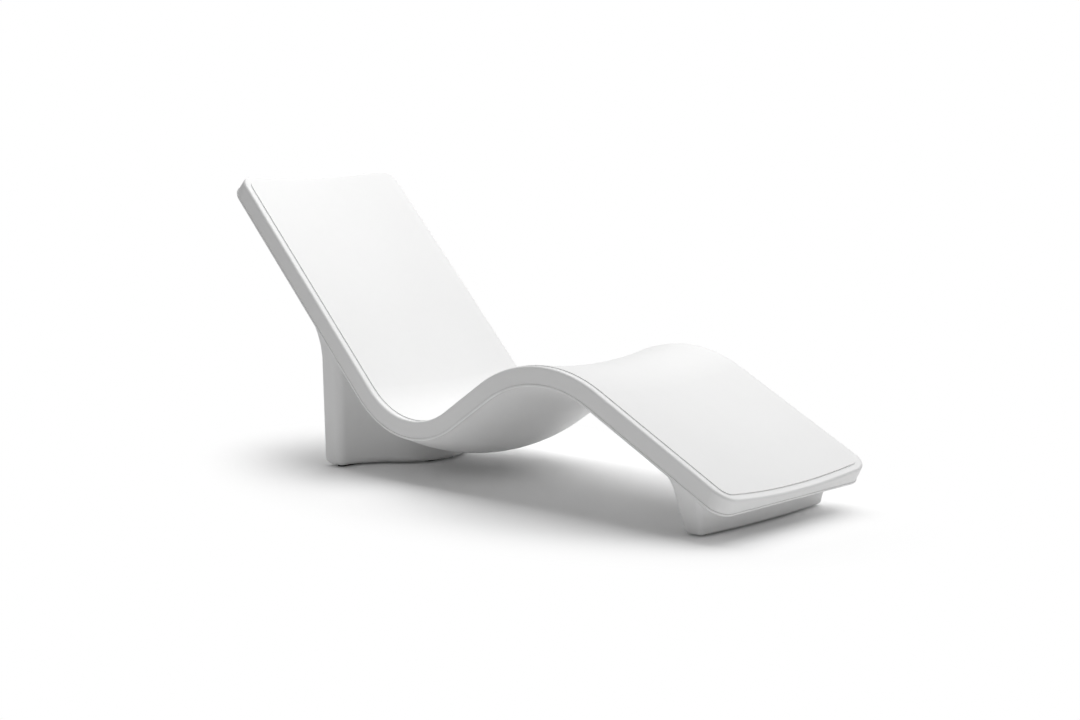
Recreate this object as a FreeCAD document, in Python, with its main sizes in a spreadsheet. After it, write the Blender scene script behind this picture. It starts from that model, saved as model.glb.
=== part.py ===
import FreeCAD, Part
import math
import os
import Sketcher
from FreeCAD import Placement, Rotation, Vector

# Moulded plastic chaise longue: a hollow S-shaped slab on a rear pedestal and a front foot.
# Millimetres and degrees. Origin on the floor under the middle of the part, +X towards the foot end.
# Depths are measured square to the slab, downwards from the top edge of its long side.

SIZES = [
    # side view of the top edge: three straight runs joined by two tangent arcs
    ("slab_width", 600.0),
    ("back_length", 800.0),
    ("back_angle", 45.8),
    ("seat_radius", 232.0),
    ("rise_length", 160.0),
    ("rise_angle", 34.1),
    ("knee_radius", 404.0),
    ("leg_length", 471.0),
    ("leg_angle", 27.1),
    ("seat_low_place", -160.29),
    ("seat_low_height", 179.0),
    # upper moulding
    ("dish_depth", 26.0),
    ("corner_radius", 48.0),
    ("rim_radius", 6.5),
    ("shell_wall", 6.0),
    ("deck_depth", 50.0),
    ("panel_inset", 22.5),
    ("rim_drop", 2.6),
    # lower moulding
    ("joint_gap", 0.3),
    ("flange_height", 8.0),
    ("flange_lip", 1.5),
    ("flange_round", 4.0),
    ("spigot_height", 14.0),
    ("spigot_wall", 5.5),
    ("belly_depth", 68.0),
    ("belly_inset", 9.0),
    # rear pedestal: its outline at the sole and at an upper height, where the slab then trims it;
    # insets are drawn in from the slab's sides and setbacks run back from the seat's low edge
    ("sole_height", 5.0),
    ("sole_wall", 12.0),
    ("foot_wall", 7.0),
    ("pedestal_top_rise", 221.0),
    ("pedestal_setback_low", 368.0),
    ("pedestal_setback_high", 376.6),
    ("pedestal_inset_low", 5.0),
    ("pedestal_inset_high", 2.0),
    ("pedestal_side_low", 72.0),
    ("pedestal_side_high", 80.0),
    ("pedestal_reach_low", 211.5),
    ("pedestal_reach_high", 223.0),
    ("pedestal_nose_radius", 190.0),
    ("pedestal_corner", 12.0),
    ("pedestal_front_corner", 24.0),
    ("pedestal_sole_round", 20.0),
    ("pedestal_blend", 220.0),
    # front foot, in the same way, set back from the foot end
    ("foot_top_rise", 31.0),
    ("foot_setback_low", 171.4),
    ("foot_setback_high", 191.4),
    ("foot_inset_low", 48.0),
    ("foot_inset_high", 10.0),
    ("foot_side_low", 55.0),
    ("foot_side_high", 92.0),
    ("foot_bow", 14.0),
    ("foot_corner", 14.0),
    ("foot_sole_round", 8.0),
    ("foot_blend", 90.0),
    # filling and drain ports
    ("plug_stem_diameter", 34.0),
    ("plug_stem_length", 12.5),
    ("plug_head_diameter", 52.0),
    ("plug_head_height", 5.0),
    ("plug_sink", 0.5),
    ("plug_socket_width", 14.0),
    ("plug_socket_depth", 9.0),
    ("thread_clearance", 0.3),
    ("washer_diameter", 50.0),
    ("washer_height", 2.0),
    ("washer_gap", 0.1),
    ("insert_flange_diameter", 56.0),
    ("insert_flange_height", 3.0),
    ("insert_barrel_diameter", 44.0),
    ("insert_barrel_length", 10.5),
    ("boss_diameter", 72.0),
    ("boss_length", 20.0),
    ("boss_skin", 2.0),
    ("fill_port_place", 120.0),
    ("rear_drain_height", 58.0),
    ("front_drain_height", 54.0),
    # rubber pads let into the soles
    ("pad_height", 8.0),
    ("pad_width", 26.0),
    ("pad_length", 110.0),
    ("pad_clearance", 0.3),
    ("pedestal_pad_setback", 40.0),
    ("pedestal_pad_inset", 75.0),
    ("nose_pad_setback", 165.0),
    ("foot_pad_inset", 78.0),
    # formers bonded between the two mouldings
    ("former_thickness", 6.0),
    ("former_side_gap", 0.4),
    ("former_hole", 12.0),
    ("former_hole_inset", 130.0),
    ("back_former_place", 330.0),
    ("leg_former_place", 391.0),
]

# sizes that follow from the others
DERIVED = [
    ("half_width", "=slab_width / 2"),
    ("no_inset", "=slab_width - slab_width"),
    ("slab_depth", "=deck_depth + flange_height"),
    ("dish_radius", "=(half_width * half_width + dish_depth * dish_depth) / (2 * dish_depth)"),
    ("dish_centre", "=dish_radius - dish_depth"),
    ("inner_half", "=half_width - shell_wall"),
    ("inner_radius", "=dish_radius + shell_wall"),
    ("inner_edge", "=sqrt(inner_radius * inner_radius - inner_half * inner_half) - dish_centre"),
    ("inner_low", "=deck_depth + shell_wall"),
    ("inner_corner", "=corner_radius - shell_wall"),
    ("rim_dish", "=dish_radius + rim_drop"),
    ("rim_edge", "=sqrt(rim_dish * rim_dish - half_width * half_width) - dish_centre"),
    ("panel_half", "=half_width - panel_inset"),
    ("panel_corner", "=corner_radius - panel_inset"),
    ("panel_edge", "=sqrt(dish_radius * dish_radius - panel_half * panel_half) - dish_centre"),
    ("panel_low", "=dish_depth + 2 * shell_wall"),
    ("flange_inset", "=0 - flange_lip"),
    ("flange_half", "=half_width + flange_lip"),
    ("flange_top", "=deck_depth + joint_gap"),
    ("flange_corner", "=corner_radius + flange_lip"),
    ("spigot_inset", "=shell_wall + joint_gap"),
    ("spigot_half", "=half_width - spigot_inset"),
    ("spigot_top", "=deck_depth - spigot_height"),
    ("spigot_low", "=slab_depth - flange_height / 2"),
    ("spigot_corner", "=corner_radius - spigot_inset"),
    ("cavity_inset", "=spigot_inset + spigot_wall"),
    ("cavity_half", "=half_width - cavity_inset"),
    ("cavity_top", "=spigot_top - shell_wall"),
    ("cavity_low", "=slab_depth - shell_wall"),
    ("cavity_corner", "=corner_radius - cavity_inset"),
    ("under_half", "=half_width + corner_radius"),
    ("under_depth", "=slab_depth - flange_height / 2"),
    ("belly_half", "=half_width - belly_inset"),
    ("belly_in_half", "=belly_half - shell_wall - joint_gap"),
    ("foot_end_place", "=seat_low_place + (seat_radius + knee_radius) * sin(rise_angle)"
                       " + rise_length * cos(rise_angle) + knee_radius * sin(leg_angle)"
                       " + leg_length * cos(leg_angle)"),
    ("foot_end_height", "=seat_low_height + seat_radius - (seat_radius + knee_radius) * cos(rise_angle)"
                        " + rise_length * sin(rise_angle) + knee_radius * cos(leg_angle)"
                        " - leg_length * sin(leg_angle)"),
    ("hollow_sole", "=sole_height + sole_wall"),
    ("pedestal_top_height", "=seat_low_height + pedestal_top_rise"),
    ("pedestal_rear_low", "=seat_low_place - pedestal_setback_low"),
    ("pedestal_rear_high", "=seat_low_place - pedestal_setback_high"),
    ("pedestal_half_low", "=half_width - pedestal_inset_low"),
    ("pedestal_half_high", "=half_width - pedestal_inset_high"),
    ("pedestal_centre_low", "=pedestal_rear_low + pedestal_reach_low - pedestal_nose_radius"),
    ("pedestal_centre_high", "=pedestal_rear_high + pedestal_reach_high - pedestal_nose_radius"),
    ("pedestal_pad_spread", "=pedestal_half_low - pedestal_pad_inset"),
    ("foot_top_height", "=foot_end_height + foot_top_rise"),
    ("foot_rear_low", "=foot_end_place - foot_setback_low"),
    ("foot_rear_high", "=foot_end_place - foot_setback_high"),
    ("foot_half_low", "=half_width - foot_inset_low"),
    ("foot_half_high", "=half_width - foot_inset_high"),
    ("foot_pad_spread", "=foot_half_low - foot_pad_inset"),
    ("pedestal_inner_corner", "=pedestal_corner - foot_wall"),
    ("pedestal_inner_front", "=pedestal_front_corner - foot_wall"),
    ("pedestal_inside_high", "=min(pedestal_half_high - foot_wall; cavity_half - joint_gap)"),
    ("foot_inside_high", "=min(foot_half_high - foot_wall; cavity_half - joint_gap)"),
    ("former_hole_spread", "=half_width - former_hole_inset"),
    ("plug_head_low", "=plug_sink + plug_head_height"),
    ("washer_top", "=plug_head_low + washer_gap"),
    ("washer_low", "=washer_top + washer_height"),
    ("insert_top", "=washer_low + washer_gap"),
    ("insert_flange_low", "=insert_top + insert_flange_height"),
    ("insert_low", "=insert_flange_low + insert_barrel_length"),
    ("insert_bore", "=plug_stem_diameter + 2 * thread_clearance"),
    ("stem_low", "=plug_head_low + plug_stem_length"),
    ("port_recess", "=insert_flange_diameter + 2 * joint_gap"),
    ("port_hole", "=insert_barrel_diameter + 2 * joint_gap"),
    ("hole_top", "=0 - boss_skin - plug_head_height"),
    ("hole_low", "=boss_length + shell_wall"),
    ("former_half", "=cavity_half - former_side_gap"),
    ("former_radius", "=inner_radius + joint_gap"),
    ("former_edge", "=sqrt(former_radius * former_radius - former_half * former_half) - dish_centre"),
    ("former_low", "=cavity_low - joint_gap"),
    ("former_belly_half", "=belly_in_half - former_side_gap"),
]

doc = FreeCAD.newDocument("chaise_longue")
sheet = doc.addObject("Spreadsheet::Sheet", "sizes")
for row, (name, value) in enumerate(SIZES + DERIVED, start=1):
    sheet.set("A%d" % row, name)
    sheet.set("B%d" % row, str(value))
    sheet.setAlias("B%d" % row, name)
doc.recompute()
size = {name: float(sheet.get(name)) for name, value in SIZES + DERIVED}


def sine_cosine(degrees):
    return math.sin(math.radians(degrees)), math.cos(math.radians(degrees))


SIN_BACK, COS_BACK = sine_cosine(size["back_angle"])
SIN_RISE, COS_RISE = sine_cosine(size["rise_angle"])
SIN_LEG, COS_LEG = sine_cosine(size["leg_angle"])


def path_points(inset, depth=0.0):
    """Ends, tangent points and arc centres of the slab's edge at a depth, with both ends drawn in."""
    inner, outer = size["knee_radius"] - depth, size["seat_radius"] + depth
    seat = Vector(size["seat_low_place"], 0, size["seat_low_height"] + size["seat_radius"])
    back_end = seat + Vector(-SIN_BACK, 0, -COS_BACK) * outer
    head = back_end + Vector(-COS_BACK, 0, SIN_BACK) * (size["back_length"] - inset)
    rise_start = seat + Vector(SIN_RISE, 0, -COS_RISE) * outer
    rise_end = rise_start + Vector(COS_RISE, 0, SIN_RISE) * size["rise_length"]
    knee = rise_end + Vector(SIN_RISE, 0, -COS_RISE) * inner
    leg_start = knee + Vector(SIN_LEG, 0, COS_LEG) * inner
    foot = leg_start + Vector(COS_LEG, 0, -SIN_LEG) * (size["leg_length"] - inset)
    return head, back_end, seat, rise_start, rise_end, knee, leg_start, foot


HEAD, BACK_END, SEAT, RISE_START, RISE_END, KNEE, LEG_START, FOOT = path_points(0.0)


def new_body(name):
    body = doc.addObject("PartDesign::Body", name)
    body.Label = name
    return body


def origin_plane(body, role):
    for feature in body.Origin.OriginFeatures:
        if feature.Role == role:
            return feature
    raise RuntimeError("no plane " + role)


def new_sketch(body, name, role):
    sketch = body.newObject("Sketcher::SketchObject", name)
    sketch.AttachmentSupport = (origin_plane(body, role), [""])
    sketch.MapMode = "FlatFace"
    return sketch


def bind(sketch, cell, constraint, words=None):
    index = sketch.addConstraint(constraint)
    sketch.renameConstraint(index, cell)
    sketch.setExpression("Constraints." + cell, words or "sizes." + cell)


def join_ends(sketch, pairs):
    for first, first_end, second, second_end in pairs:
        sketch.addConstraint(Sketcher.Constraint("Coincident", first, first_end, second, second_end))


def path_sketch(body, name, inset=None, depth="no_inset"):
    """S-shaped path in the middle plane; without an inset it has the two arcs and the rise only."""
    drawn = size[inset] if inset else 0.0
    head, back_end, seat, rise_start, rise_end, knee, leg_start, foot = [
        Vector(point.x, point.z, 0) for point in path_points(drawn, size[depth])]
    back, rise, leg = [math.radians(size[cell]) for cell in ("back_angle", "rise_angle", "leg_angle")]
    sketch = new_sketch(body, name, "XZ_Plane")
    up = Vector(0, 0, 1)
    seat_circle = Part.Circle(seat, up, size["seat_radius"] + size[depth])
    knee_circle = Part.Circle(knee, up, size["knee_radius"] - size[depth])
    sketch.addGeometry(Part.ArcOfCircle(seat_circle, 1.5 * math.pi - back, 1.5 * math.pi + rise))
    sketch.addGeometry(Part.LineSegment(rise_start, rise_end))
    sketch.addGeometry(Part.ArcOfCircle(knee_circle, 0.5 * math.pi - leg, 0.5 * math.pi + rise))
    sketch.addConstraint(Sketcher.Constraint("Tangent", 0, 2, 1, 1))
    sketch.addConstraint(Sketcher.Constraint("Tangent", 1, 2, 2, 2))
    bind(sketch, "seat_radius", Sketcher.Constraint("Radius", 0, seat_circle.Radius),
         "sizes.seat_radius + sizes." + depth)
    bind(sketch, "knee_radius", Sketcher.Constraint("Radius", 2, knee_circle.Radius),
         "sizes.knee_radius - sizes." + depth)
    bind(sketch, "rise_length", Sketcher.Constraint("Distance", 1, size["rise_length"]))
    bind(sketch, "rise_angle", Sketcher.Constraint("Angle", 1, rise))
    bind(sketch, "seat_low_place", Sketcher.Constraint("DistanceX", -1, 1, 0, 3, seat.x))
    bind(sketch, "seat_low_height", Sketcher.Constraint("DistanceY", -1, 1, 0, 3, seat.y),
         "sizes.seat_low_height + sizes.seat_radius")
    if inset:
        sketch.addGeometry(Part.LineSegment(back_end, head))
        sketch.addGeometry(Part.LineSegment(foot, leg_start))
        sketch.addConstraint(Sketcher.Constraint("Tangent", 3, 1, 0, 1))
        sketch.addConstraint(Sketcher.Constraint("Tangent", 4, 2, 2, 1))
        bind(sketch, "back_angle", Sketcher.Constraint("Angle", 3, math.pi - back), "180 - sizes.back_angle")
        bind(sketch, "leg_angle", Sketcher.Constraint("Angle", 4, math.pi - leg), "180 - sizes.leg_angle")
        bind(sketch, "back_length", Sketcher.Constraint("Distance", 3, size["back_length"] - drawn),
             "sizes.back_length - sizes." + inset)
        bind(sketch, "leg_length", Sketcher.Constraint("Distance", 4, size["leg_length"] - drawn),
             "sizes.leg_length - sizes." + inset)
    return sketch


def under_body(name, depth, half):
    """Everything between the floor and a depth of the slab."""
    body = new_body(name)
    sketch = path_sketch(body, name + "_outline", "no_inset", depth)
    points = path_points(0.0, size[depth])
    head, foot = points[0], points[-1]
    corners = [Vector(head.x, head.z, 0), Vector(head.x, 0, 0), Vector(foot.x, 0, 0), Vector(foot.x, foot.z, 0)]
    for index in range(3):
        sketch.addGeometry(Part.LineSegment(corners[index], corners[index + 1]))
    join_ends(sketch, [(3, 2, 5, 1), (5, 2, 6, 1), (6, 2, 7, 1), (7, 2, 4, 1)])
    sketch.addConstraint(Sketcher.Constraint("Vertical", 5))
    sketch.addConstraint(Sketcher.Constraint("Vertical", 7))
    sketch.addConstraint(Sketcher.Constraint("PointOnObject", 5, 2, -1))
    sketch.addConstraint(Sketcher.Constraint("PointOnObject", 6, 2, -1))
    doc.recompute()
    pad = body.newObject("PartDesign::Pad", name + "_pad")
    pad.Profile = sketch
    pad.Length = 2 * size[half]
    pad.setExpression("Length", "2 * sizes." + half)
    pad.Midplane = True
    doc.recompute()
    return body


def section_sketch(body, name, start, angle_words, angle):
    """Sketch square to the path: its x runs across the slab and its y out of the top."""
    sketch = new_sketch(body, name, "YZ_Plane")
    sketch.AttachmentOffset = Placement(Vector(0, start.z, start.x), Rotation(Vector(1, 0, 0), angle))
    sketch.setExpression("AttachmentOffset.Rotation.Angle", angle_words)
    return sketch


def run_pipe(body, section, path):
    doc.recompute()
    pipe = body.newObject("PartDesign::AdditivePipe", body.Name + "_pipe")
    pipe.Profile = section
    pipe.Spine = path
    doc.recompute()
    return pipe


def slab_body(name, inset, half, top, low, dish_radius=None):
    """Slab along the S path between two depths; with a dish radius its top is hollow across."""
    body = new_body(name)
    path = path_sketch(body, name + "_path", inset)
    start = path_points(size[inset])[0]
    section = section_sketch(body, name + "_section", start, "sizes.back_angle", size["back_angle"])
    across, high, deep = size[half], -size[top], -size[low]
    section.addGeometry(Part.LineSegment(Vector(-across, high, 0), Vector(-across, deep, 0)))
    section.addGeometry(Part.LineSegment(Vector(-across, deep, 0), Vector(across, deep, 0)))
    section.addGeometry(Part.LineSegment(Vector(across, deep, 0), Vector(across, high, 0)))
    if dish_radius:
        radius = size[dish_radius]
        centre = Vector(0, high + math.sqrt(radius * radius - across * across), 0)
        turn = math.asin(across / radius)
        circle = Part.Circle(centre, Vector(0, 0, 1), radius)
        section.addGeometry(Part.ArcOfCircle(circle, 1.5 * math.pi - turn, 1.5 * math.pi + turn))
        join_ends(section, [(0, 2, 1, 1), (1, 2, 2, 1), (2, 2, 3, 2), (3, 1, 0, 1)])
        bind(section, dish_radius, Sketcher.Constraint("Radius", 3, radius))
    else:
        section.addGeometry(Part.LineSegment(Vector(across, high, 0), Vector(-across, high, 0)))
        join_ends(section, [(0, 2, 1, 1), (1, 2, 2, 1), (2, 2, 3, 1), (3, 2, 0, 1)])
    section.addConstraint(Sketcher.Constraint("Vertical", 0))
    section.addConstraint(Sketcher.Constraint("Vertical", 2))
    section.addConstraint(Sketcher.Constraint("Equal", 0, 2))
    section.addConstraint(Sketcher.Constraint("Symmetric", 1, 1, 1, 2, -2))
    bind(section, half, Sketcher.Constraint("Distance", 1, 2 * across), "2 * sizes." + half)
    bind(section, low, Sketcher.Constraint("DistanceY", 1, 1, -1, 1, -deep))
    bind(section, top, Sketcher.Constraint("Distance", 0, high - deep), "sizes.%s - sizes.%s" % (low, top))
    run_pipe(body, section, path)
    return body


def edge_names(shape, wanted):
    return ["Edge%d" % (index + 1) for index, edge in enumerate(shape.Edges) if wanted(edge)]


def round_edges(body, cell, wanted):
    base = body.Tip
    names = edge_names(base.Shape, wanted)
    if not names:
        raise RuntimeError("no edges to round on " + body.Name)
    fillet = body.newObject("PartDesign::Fillet", "%s_%s" % (body.Name, cell))
    fillet.Base = (base, names)
    fillet.Radius = size[cell]
    fillet.setExpression("Radius", "sizes." + cell)
    doc.recompute()
    return fillet


def is_straight(edge):
    ends = [vertex.Point for vertex in edge.Vertexes]
    return len(ends) == 2 and abs(ends[0].distanceToPoint(ends[1]) - edge.Length) < 0.001


def end_corner(half):
    """Edges that stand square to the slab at its four corners."""
    def wanted(edge):
        ends = [vertex.Point for vertex in edge.Vertexes]
        if not is_straight(edge) or any(abs(abs(end.y) - size[half]) > 0.01 for end in ends):
            return False
        along = (ends[1] - ends[0]).normalize()
        head_normal = Vector(SIN_BACK, 0, COS_BACK)
        foot_normal = Vector(SIN_LEG, 0, COS_LEG)
        at_head = abs(along.dot(head_normal)) > 0.999 and ends[0].x < BACK_END.x
        at_foot = abs(along.dot(foot_normal)) > 0.999 and ends[0].x > LEG_START.x
        return at_head or at_foot
    return wanted


def depth_of(point):
    """Depth of a point below the slab's top edge, measured square to the path."""
    if (point - BACK_END).dot(Vector(COS_BACK, 0, -SIN_BACK)) < 0:
        return -(point - BACK_END).dot(Vector(SIN_BACK, 0, COS_BACK))
    if (point - RISE_START).dot(Vector(COS_RISE, 0, SIN_RISE)) < 0:
        return math.hypot(point.x - SEAT.x, point.z - SEAT.z) - size["seat_radius"]
    if (point - RISE_END).dot(Vector(COS_RISE, 0, SIN_RISE)) < 0:
        return -(point - RISE_START).dot(Vector(-SIN_RISE, 0, COS_RISE))
    if (point - LEG_START).dot(Vector(COS_LEG, 0, -SIN_LEG)) < 0:
        return size["knee_radius"] - math.hypot(point.x - KNEE.x, point.z - KNEE.z)
    return -(point - LEG_START).dot(Vector(SIN_LEG, 0, COS_LEG))


def facing(face):
    """How far a face looks out of the slab's top: 1 for the top, -1 for the underside, 0 for a wall."""
    first, last, low, high = face.ParameterRange
    normal = face.normalAt((first + last) / 2, (low + high) / 2)
    point = face.valueAt((first + last) / 2, (low + high) / 2)
    return round(depth_of(point - normal * 0.5) - depth_of(point + normal * 0.5))


def border_edges(shape, side):
    """Edges where the top (side 1) or the underside (side -1) of a slab meets its walls."""
    names = []
    for index, edge in enumerate(shape.Edges):
        sides = sorted(abs(facing(face)) for face in shape.ancestorsOfType(edge, Part.Face))
        if sides == [0, 1] and any(facing(face) == side for face in shape.ancestorsOfType(edge, Part.Face)):
            names.append("Edge%d" % (index + 1))
    return names


def round_border(body, cell, side):
    base = body.Tip
    fillet = body.newObject("PartDesign::Fillet", "%s_%s" % (body.Name, cell))
    fillet.Base = (base, border_edges(base.Shape, side))
    fillet.Radius = size[cell]
    fillet.setExpression("Radius", "sizes." + cell)
    doc.recompute()


def rounded_slab(name, inset, half, top, low, corner, dish_radius=None):
    body = slab_body(name, inset, half, top, low, dish_radius)
    round_edges(body, corner, end_corner(half))
    return body


def fuse(name, pieces):
    result = doc.addObject("Part::MultiFuse", name)
    result.Shapes = pieces
    doc.recompute()
    return result


def cut(name, base, tool):
    result = doc.addObject("Part::Cut", name)
    result.Base = base
    result.Tool = tool
    doc.recompute()
    return result


def common(name, pieces):
    result = doc.addObject("Part::MultiCommon", name)
    result.Shapes = pieces
    doc.recompute()
    return result


def belly_section(body, name, half, low, whole=True):
    """Segment of a circle below a depth, whole or the half on the +Y side."""
    section = section_sketch(body, name, BACK_END, "sizes.back_angle", size["back_angle"])
    across, level = size[half], -size[low]
    lid = level + size["shell_wall"] / 2
    depth = size["belly_depth"]
    radius = (across * across + depth * depth) / (2 * depth)
    centre = Vector(0, level - depth + radius, 0)
    turn = math.asin(across / radius)
    circle = Part.Circle(centre, Vector(0, 0, 1), radius)
    start = 1.5 * math.pi - turn if whole else 1.5 * math.pi
    left = -across if whole else 0.0
    left_level = level if whole else level - depth
    section.addGeometry(Part.ArcOfCircle(circle, start, 1.5 * math.pi + turn))
    section.addGeometry(Part.LineSegment(Vector(across, level, 0), Vector(across, lid, 0)))
    section.addGeometry(Part.LineSegment(Vector(across, lid, 0), Vector(left, lid, 0)))
    section.addGeometry(Part.LineSegment(Vector(left, lid, 0), Vector(left, left_level, 0)))
    join_ends(section, [(0, 2, 1, 1), (1, 2, 2, 1), (2, 2, 3, 1), (3, 2, 0, 1)])
    section.addConstraint(Sketcher.Constraint("Vertical", 1))
    section.addConstraint(Sketcher.Constraint("Horizontal", 2))
    section.addConstraint(Sketcher.Constraint("Vertical", 3))
    section.addConstraint(Sketcher.Constraint("PointOnObject", 0, 3, -2))
    bind(section, "radius", Sketcher.Constraint("Radius", 0, radius),
         "(sizes.%s * sizes.%s + sizes.belly_depth * sizes.belly_depth) / (2 * sizes.belly_depth)" % (half, half))
    bind(section, low, Sketcher.Constraint("DistanceY", 1, 1, -1, 1, -level))
    bind(section, "lid", Sketcher.Constraint("Distance", 1, lid - level), "sizes.shell_wall / 2")
    if whole:
        section.addConstraint(Sketcher.Constraint("Equal", 1, 3))
        bind(section, half, Sketcher.Constraint("Distance", 2, 2 * across), "2 * sizes." + half)
    else:
        section.addConstraint(Sketcher.Constraint("PointOnObject", 2, 2, -2))
        bind(section, half, Sketcher.Constraint("Distance", 2, across))
    return section


def belly_body(name, half, low):
    """Convex underside of the seat and knee, run out as half a dome at the back and at the leg."""
    body = new_body(name)
    path = path_sketch(body, name + "_path")
    run_pipe(body, belly_section(body, name + "_section", half, low), path)
    for end in ("back", "leg"):
        volume = body.Shape.Volume
        section = belly_section(body, "%s_%s_half" % (name, end), half, low, whole=False)
        if end == "leg":
            section.AttachmentOffset = Placement(
                Vector(0, LEG_START.z, LEG_START.x), Rotation(Vector(1, 0, 0), size["leg_angle"]))
            section.setExpression("AttachmentOffset.Rotation.Angle", "sizes.leg_angle")
        doc.recompute()
        dome = body.newObject("PartDesign::Revolution", "%s_%s_dome" % (name, end))
        dome.Profile = section
        dome.ReferenceAxis = (section, ["V_Axis"])
        dome.Angle = 180
        dome.Reversed = end == "leg"
        doc.recompute()
        if body.Shape.Volume < volume + size["belly_depth"] * size[half] * size[half] / 2:
            raise RuntimeError("dome turned the wrong way on " + name)
    return body


def ahead_of_rear(name, walls):
    """Block from some walls inside the pedestal's rear to beyond the foot end."""
    block = doc.addObject("Part::Box", name)
    for side, words in (("Length", "4 * sizes.slab_width"), ("Width", "2 * sizes.slab_width"),
                        ("Height", "2 * sizes.slab_width"), ("Placement.Base.y", "-sizes.slab_width"),
                        ("Placement.Base.x", "sizes.pedestal_rear_high + %g * sizes.foot_wall" % walls)):
        block.setExpression(side, words)
    doc.recompute()
    return block


def walled(name, walls):
    """Words and value of a size with a number of foot walls added."""
    return "sizes.%s + %g * sizes.foot_wall" % (name, walls), size[name] + walls * size["foot_wall"]


def level_sketch(name, height):
    sketch = doc.addObject("Sketcher::SketchObject", name)
    sketch.Placement = Placement(Vector(0, 0, size[height]), Rotation())
    sketch.setExpression("Placement.Base.z", "sizes." + height)
    return sketch


def bind_box(sketch, rear, half, side, near, far):
    """Ties the straight rear and the two straight sides of an outline to their sizes."""
    sketch.addConstraint(Sketcher.Constraint("Horizontal", near))
    sketch.addConstraint(Sketcher.Constraint("Horizontal", far))
    sketch.addConstraint(Sketcher.Constraint("Symmetric", 0, 1, 0, 2, -1))
    bind(sketch, "half", Sketcher.Constraint("Distance", 0, 2 * half[1]), "2 * (%s)" % half[0])
    bind(sketch, "side", Sketcher.Constraint("Distance", near, side[1]), side[0])
    bind(sketch, "rear", Sketcher.Constraint("DistanceX", -1, 1, 0, 1, rear[1]), rear[0])


def foot_outline(name, height, level, walls):
    """Outline of the foot: straight rear and sides and a slightly bowed front."""
    rear = walled("foot_rear_" + level, walls)
    half = walled("foot_half_" + level, -walls)
    if walls and level == "high":
        half = walled("foot_inside_high", 0)
    side = walled("foot_side_" + level, -2 * walls)
    across, bow, front = half[1], size["foot_bow"], rear[1] + side[1]
    sketch = level_sketch(name, height)
    corners = [Vector(rear[1], across, 0), Vector(rear[1], -across, 0),
               Vector(front, -across, 0), Vector(front, across, 0)]
    sketch.addGeometry(Part.LineSegment(corners[0], corners[1]))
    sketch.addGeometry(Part.LineSegment(corners[1], corners[2]))
    sketch.addGeometry(Part.Arc(corners[2], Vector(front + bow, 0, 0), corners[3]))
    sketch.addGeometry(Part.LineSegment(corners[3], corners[0]))
    join_ends(sketch, [(0, 2, 1, 1), (1, 2, 2, 1), (2, 2, 3, 1), (3, 2, 0, 1)])
    sketch.addConstraint(Sketcher.Constraint("Equal", 1, 3))
    bind_box(sketch, rear, half, side, 1, 3)
    bind(sketch, "bow", Sketcher.Constraint("Radius", 2, (across * across + bow * bow) / (2 * bow)),
         "((%s) ^ 2 + sizes.foot_bow ^ 2) / (2 * sizes.foot_bow)" % half[0])
    return sketch


def pedestal_outline(name, height, level, walls):
    """Outline of the pedestal: a rear post as wide as the slab, drawn in at a waist to a round nose."""
    rear = walled("pedestal_rear_" + level, walls)
    half = walled("pedestal_half_" + level, -walls)
    if walls and level == "high":
        half = walled("pedestal_inside_high", 0)
    side = walled("pedestal_side_" + level, -2 * walls)
    nose = walled("pedestal_nose_radius", -walls)
    spread, centre = size["pedestal_half_" + level], size["pedestal_centre_" + level]
    across, front = half[1], rear[1] + side[1]

    def gap(place):
        waist = math.hypot(place - front, spread - across)
        return math.hypot(place - centre, spread) - nose[1] - waist

    near, far = front, front + 4 * size["slab_width"]
    for step in range(60):
        middle = (near + far) / 2
        near, far = (middle, far) if gap(middle) > 0 else (near, middle)
    waist = math.hypot(near - front, spread - across)
    lean = math.atan2(spread, near - centre)
    foot = math.asin((spread - across) / waist)
    up = Vector(0, 0, 1)
    corners = [Vector(rear[1], across, 0), Vector(rear[1], -across, 0),
               Vector(front, -across, 0), Vector(front, across, 0)]
    sketch = level_sketch(name, height)
    sketch.addGeometry(Part.LineSegment(corners[0], corners[1]))
    sketch.addGeometry(Part.LineSegment(corners[1], corners[2]))
    sketch.addGeometry(Part.ArcOfCircle(
        Part.Circle(Vector(near, -spread, 0), up, waist), math.pi - lean, math.pi - foot))
    sketch.addGeometry(Part.ArcOfCircle(Part.Circle(Vector(centre, 0, 0), up, nose[1]), -lean, lean))
    sketch.addGeometry(Part.ArcOfCircle(
        Part.Circle(Vector(near, spread, 0), up, waist), math.pi + foot, math.pi + lean))
    sketch.addGeometry(Part.LineSegment(corners[3], corners[0]))
    join_ends(sketch, [(0, 2, 1, 1), (1, 2, 2, 2), (4, 1, 5, 1), (5, 2, 0, 1)])
    sketch.addConstraint(Sketcher.Constraint("Tangent", 2, 1, 3, 1))
    sketch.addConstraint(Sketcher.Constraint("Tangent", 3, 2, 4, 2))
    bind_box(sketch, rear, half, side, 1, 5)
    sketch.addConstraint(Sketcher.Constraint("PointOnObject", 3, 3, -1))
    sketch.addConstraint(Sketcher.Constraint("Symmetric", 2, 3, 4, 3, -1))
    bind(sketch, "centre", Sketcher.Constraint("DistanceX", -1, 1, 3, 3, centre),
         "sizes.pedestal_centre_" + level)
    bind(sketch, "nose", Sketcher.Constraint("Radius", 3, nose[1]), nose[0])
    bind(sketch, "spread", Sketcher.Constraint("DistanceY", 2, 3, 4, 3, 2 * spread),
         "2 * sizes.pedestal_half_" + level)
    return sketch


def lofted(name, sketches, ruled):
    doc.recompute()
    loft = doc.addObject("Part::Loft", name)
    loft.Sections = sketches
    loft.Solid = True
    loft.Ruled = ruled
    doc.recompute()
    return loft


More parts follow.
